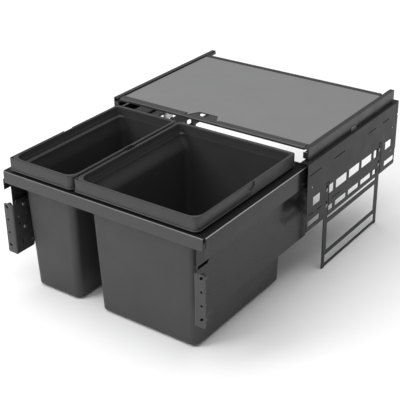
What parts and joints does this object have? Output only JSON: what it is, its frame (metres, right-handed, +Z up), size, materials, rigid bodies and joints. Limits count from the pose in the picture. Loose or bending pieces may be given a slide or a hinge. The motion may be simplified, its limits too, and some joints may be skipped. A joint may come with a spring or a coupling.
{
  "type": "pull-out waste bin unit",
  "caption": "Pull-out waste unit for a kitchen cabinet: lift-out bins with swing handles hang in a sheet-steel drawer on full-extension runners, under a sliding cover.",
  "frame": {"origin": "on the cabinet floor, in the middle of the unit's width and of its depth with the drawer fully open", "axes": "+X to the right seen from the front, +Y into the cabinet (the drawer opens along -Y), +Z up"},
  "size_m": [0.564, 0.816, 0.3333],
  "materials": {
    "frame_steel": "anthracite powder coat",
    "runner_steel": "dark coated steel",
    "bearing_steel": "polished",
    "screw_steel": "dark zinc",
    "cage_plastic": "matte",
    "damper_plastic": "matte",
    "damper_metal": "satin",
    "pad_rubber": "matte",
    "cover_steel": "fine textured grey coat",
    "rail_aluminium": "dark anodised",
    "trim_plastic": "satin",
    "bin_plastic": "fine grained",
    "handle_plastic": "satin"
  },
  "bodies": {
    "cabinet_frame": {"side_plate_right": "frame_steel", "side_plate_left": "frame_steel", "guide_studs_right": "screw_steel", "guide_studs_left": "screw_steel", "cabinet_track_right": "runner_steel", "cabinet_track_left": "runner_steel", "damper_housing_right": "damper_plastic", "damper_housing_left": "damper_plastic", "damper_catch_right": "damper_metal", "damper_catch_left": "damper_metal", "track_end_cap_right": "damper_plastic", "track_end_cap_left": "damper_plastic", "cover_rail_right": "rail_aluminium", "cover_rail_left": "rail_aluminium", "rail_carrier_right": "screw_steel", "rail_carrier_left": "screw_steel", "rail_ends_right": "trim_plastic", "rail_ends_left": "trim_plastic"},
    "support_right": {"support_frame_right": "frame_steel", "foot_pads_right": "pad_rubber"},
    "support_left": {"support_frame_left": "frame_steel", "foot_pads_left": "pad_rubber"},
    "middle_members": {"middle_runner_right": "runner_steel", "middle_runner_left": "runner_steel"},
    "lower_cages": {"lower_ball_cage_right": "cage_plastic", "lower_ball_cage_left": "cage_plastic", "lower_balls_right": "bearing_steel", "lower_balls_left": "bearing_steel"},
    "upper_cages": {"upper_ball_cage_right": "cage_plastic", "upper_ball_cage_left": "cage_plastic", "upper_balls_right": "bearing_steel", "upper_balls_left": "bearing_steel"},
    "drawer": {"drawer_side_right": "frame_steel", "drawer_side_left": "frame_steel", "front_rail": "frame_steel", "rear_rail": "frame_steel", "door_bracket_right": "frame_steel", "door_bracket_left": "frame_steel", "bracket_screws_right": "screw_steel", "bracket_screws_left": "screw_steel", "corner_rivets": "screw_steel", "drawer_track_right": "runner_steel", "drawer_track_left": "runner_steel"},
    "cover": {"cover_plate": "cover_steel", "cover_front_profile": "trim_plastic", "cover_rear_profile": "trim_plastic", "cover_glides": "cage_plastic"},
    "bin_large": {"large_bin": "bin_plastic"},
    "bin_small": {"small_bin": "bin_plastic"},
    "handle_large": {"large_bin_handle": "handle_plastic"},
    "handle_small": {"small_bin_handle": "handle_plastic"}
  },
  "joints": [
    {"name": "drawer_slide", "type": "slide", "parent": "cabinet_frame", "child": "drawer", "axis": [0, -1, 0], "range_m": [-0.37, 0]},
    {"name": "middle_slide", "type": "slide", "parent": "cabinet_frame", "child": "middle_members", "axis": [0, -1, 0], "range_m": [-0.185, 0]},
    {"name": "lower_cage_slide", "type": "slide", "parent": "cabinet_frame", "child": "lower_cages", "axis": [0, -1, 0], "range_m": [-0.0925, 0]},
    {"name": "upper_cage_slide", "type": "slide", "parent": "cabinet_frame", "child": "upper_cages", "axis": [0, -1, 0], "range_m": [-0.2775, 0]},
    {"name": "large_bin_lift", "type": "slide", "parent": "drawer", "child": "bin_large", "axis": [0, 0, 1], "range_m": [0, 0.345]},
    {"name": "small_bin_lift", "type": "slide", "parent": "drawer", "child": "bin_small", "axis": [0, 0, 1], "range_m": [0, 0.345]},
    {"name": "large_handle_swing", "type": "hinge", "parent": "bin_large", "child": "handle_large", "pos_m": [0.093, -0.217, 0.3045], "axis": [-1, 0, 0], "range_deg": [0, 90]},
    {"name": "small_handle_swing", "type": "hinge", "parent": "bin_small", "child": "handle_small", "pos_m": [-0.16, -0.217, 0.3045], "axis": [-1, 0, 0], "range_deg": [0, 90]},
    {"name": "cover_slide", "type": "slide", "parent": "cabinet_frame", "child": "cover", "axis": [0, -1, 0], "range_m": [0, 0.25]},
    {"name": "support_right_height", "type": "slide", "parent": "cabinet_frame", "child": "support_right", "axis": [0, 0, 1], "range_m": [-0.009, 0.002]},
    {"name": "support_left_height", "type": "slide", "parent": "cabinet_frame", "child": "support_left", "axis": [0, 0, 1], "range_m": [-0.009, 0.002]}
  ],
  "couplings": [
    {"joint": "middle_slide", "follows": "drawer_slide", "ratio": 0.5},
    {"joint": "lower_cage_slide", "follows": "drawer_slide", "ratio": 0.25},
    {"joint": "upper_cage_slide", "follows": "drawer_slide", "ratio": 0.75}
  ]
}
